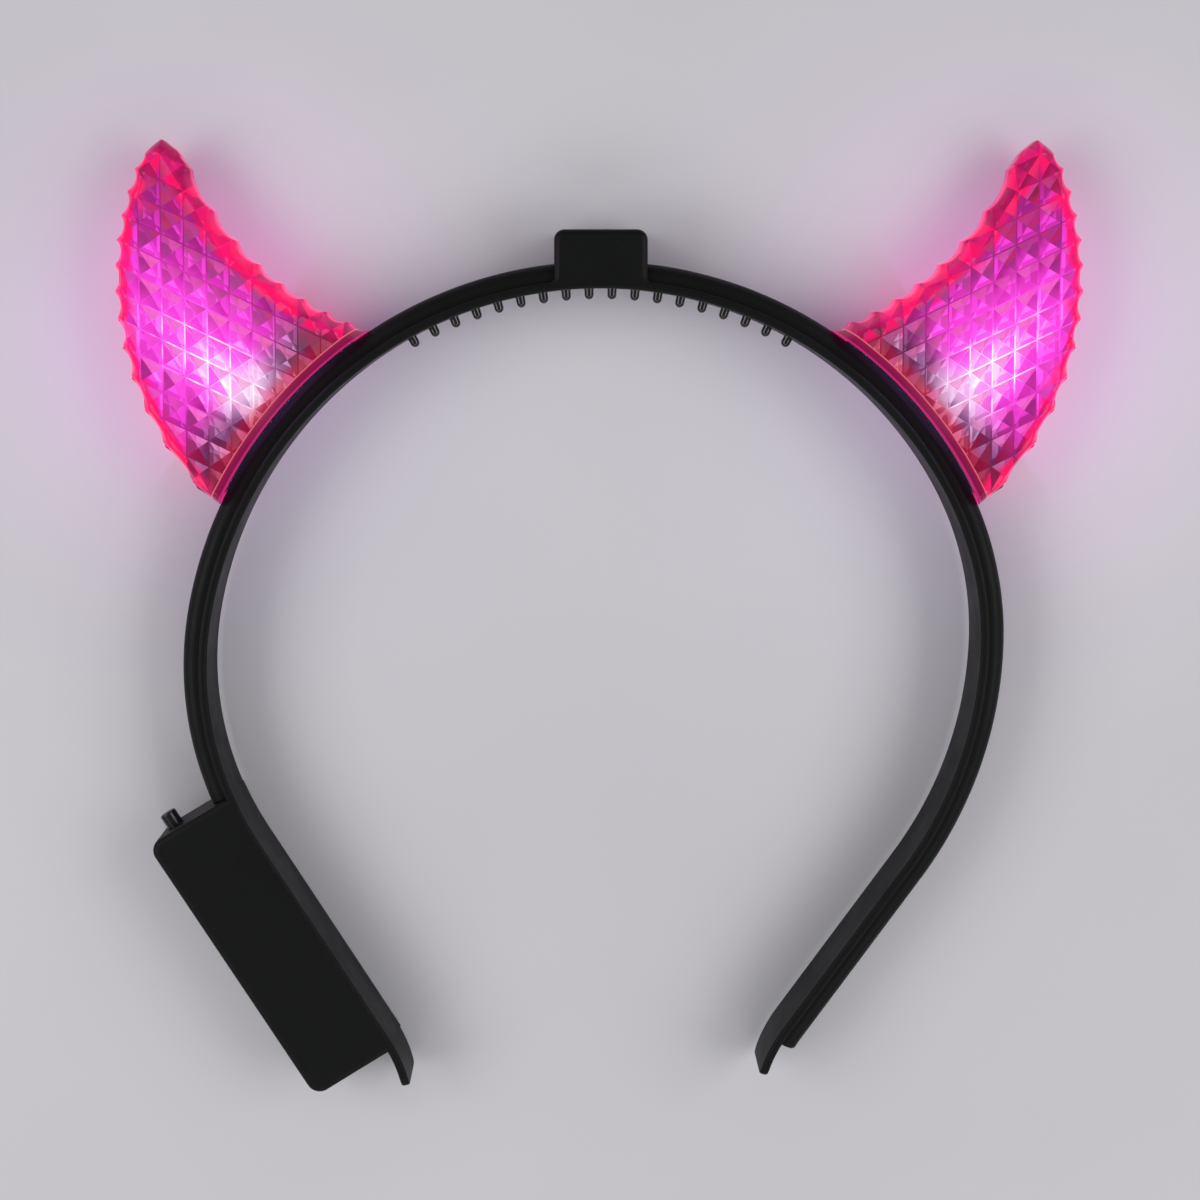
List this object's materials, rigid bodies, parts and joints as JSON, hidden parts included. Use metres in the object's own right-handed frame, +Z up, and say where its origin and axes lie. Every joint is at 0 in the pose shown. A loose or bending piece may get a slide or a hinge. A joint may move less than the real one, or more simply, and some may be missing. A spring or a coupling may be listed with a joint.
{
  "type": "light-up horns headband",
  "caption": "Springy plastic headband with hollow translucent horns lit from inside, comb teeth under the crown, a box on top and a battery case with a push button on one arm.",
  "frame": {"origin": "middle of the footprint, on the surface that the headband lies on", "axes": "+X across the head towards the arm without the battery case, +Y from the arm tips to the horns, +Z up, from the band's back edge to its front edge"},
  "size_m": [0.1772, 0.178, 0.016],
  "materials": {
    "black_plastic": "satin moulded",
    "black_gloss": "gloss moulded",
    "pink_jelly": "translucent, faceted",
    "milky_plug": "plain moulded",
    "lamp_lens": "clear, lit"
  },
  "bodies": {
    "headband": {"band": "black_plastic", "wire_cover_left": "black_plastic", "wire_cover_right": "black_plastic", "controller_box": "black_plastic", "battery_case": "black_plastic", "horn_left": "pink_jelly", "horn_right": "pink_jelly", "horn_seat_left": "milky_plug", "horn_seat_right": "milky_plug", "led_left": "lamp_lens", "led_right": "lamp_lens"},
    "button": {"switch_button": "black_gloss"}
  },
  "joints": [
    {"name": "button_press", "type": "slide", "parent": "headband", "child": "button", "axis": [0.5314, -0.8471, 0], "range_m": [0, 0.0012], "stiffness_N_per_m": 1500}
  ]
}
